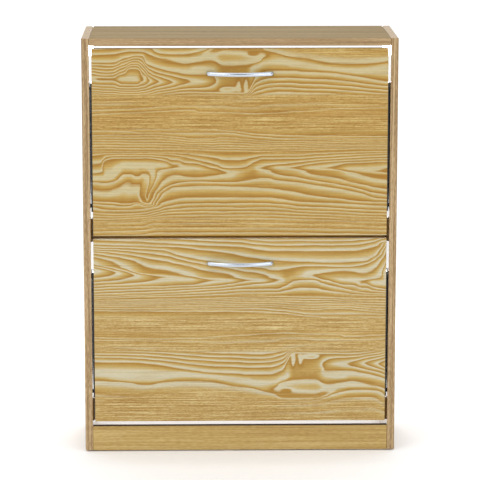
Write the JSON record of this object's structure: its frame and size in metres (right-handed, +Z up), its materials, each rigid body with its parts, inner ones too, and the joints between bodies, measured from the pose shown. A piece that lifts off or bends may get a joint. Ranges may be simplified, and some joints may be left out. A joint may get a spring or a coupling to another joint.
{
  "type": "tip-out shoe cabinet",
  "caption": "Slim floor cabinet whose drop-down doors carry tip-out shoe buckets between full-height side panels.",
  "frame": {"origin": "on the floor, at the centre of the footprint including the handles", "axes": "+Z up, the doors face -Y, +X to the right of someone facing the doors"},
  "size_m": [0.63, 0.265, 0.845],
  "materials": {
    "carcass_foil": "satin ash-print foil on chipboard",
    "door_foil": "satin cathedral ash-print foil on chipboard",
    "thin_board": "matte printed hardboard",
    "black_plastic": "moulded, semi-gloss",
    "white_plastic": "moulded nylon",
    "satin_metal": "satin nickel",
    "zinc_plate": "zinc plated"
  },
  "bodies": {
    "carcass": {"left_side_panel": "carcass_foil", "right_side_panel": "carcass_foil", "top_panel": "carcass_foil", "plinth": "door_foil", "lower_rail": "door_foil", "middle_rail": "door_foil", "plinth_cam_left": "zinc_plate", "plinth_cam_right": "zinc_plate", "lower_rail_cam_left": "zinc_plate", "lower_rail_cam_right": "zinc_plate", "middle_rail_cam_left": "zinc_plate", "middle_rail_cam_right": "zinc_plate", "top_cam_front_left": "zinc_plate", "glide_front_left": "white_plastic", "top_cam_rear_left": "zinc_plate", "glide_rear_left": "white_plastic", "wall_bracket_left": "zinc_plate", "wall_bracket_screw_left": "zinc_plate", "lower_pivot_pin_left": "zinc_plate", "lower_stop_screw_left": "zinc_plate", "upper_pivot_pin_left": "zinc_plate", "upper_stop_screw_left": "zinc_plate", "top_cam_front_right": "zinc_plate", "glide_front_right": "white_plastic", "top_cam_rear_right": "zinc_plate", "glide_rear_right": "white_plastic", "wall_bracket_right": "zinc_plate", "wall_bracket_screw_right": "zinc_plate", "lower_pivot_pin_right": "zinc_plate", "lower_stop_screw_right": "zinc_plate", "upper_pivot_pin_right": "zinc_plate", "upper_stop_screw_right": "zinc_plate"},
    "lower_bucket": {"lower_door": "door_foil", "lower_handle": "satin_metal", "lower_bottom_board": "thin_board", "lower_divider": "thin_board", "lower_back_board": "thin_board", "lower_bracket_left": "black_plastic", "lower_handle_screw_left": "zinc_plate", "lower_bracket_screw_low_left": "zinc_plate", "lower_bracket_screw_high_left": "zinc_plate", "lower_bracket_right": "black_plastic", "lower_handle_screw_right": "zinc_plate", "lower_bracket_screw_low_right": "zinc_plate", "lower_bracket_screw_high_right": "zinc_plate"},
    "upper_bucket": {"upper_door": "door_foil", "upper_handle": "satin_metal", "upper_bottom_board": "thin_board", "upper_divider": "thin_board", "upper_back_board": "thin_board", "upper_bracket_left": "black_plastic", "upper_handle_screw_left": "zinc_plate", "upper_bracket_screw_low_left": "zinc_plate", "upper_bracket_screw_high_left": "zinc_plate", "upper_bracket_right": "black_plastic", "upper_handle_screw_right": "zinc_plate", "upper_bracket_screw_low_right": "zinc_plate", "upper_bracket_screw_high_right": "zinc_plate"}
  },
  "joints": [
    {"name": "lower_bucket_tilt", "type": "hinge", "parent": "carcass", "child": "lower_bucket", "pos_m": [0, -0.0825, 0.121], "axis": [1, 0, 0], "range_deg": [0, 45]},
    {"name": "upper_bucket_tilt", "type": "hinge", "parent": "carcass", "child": "upper_bucket", "pos_m": [0, -0.0825, 0.505], "axis": [1, 0, 0], "range_deg": [0, 45]}
  ]
}
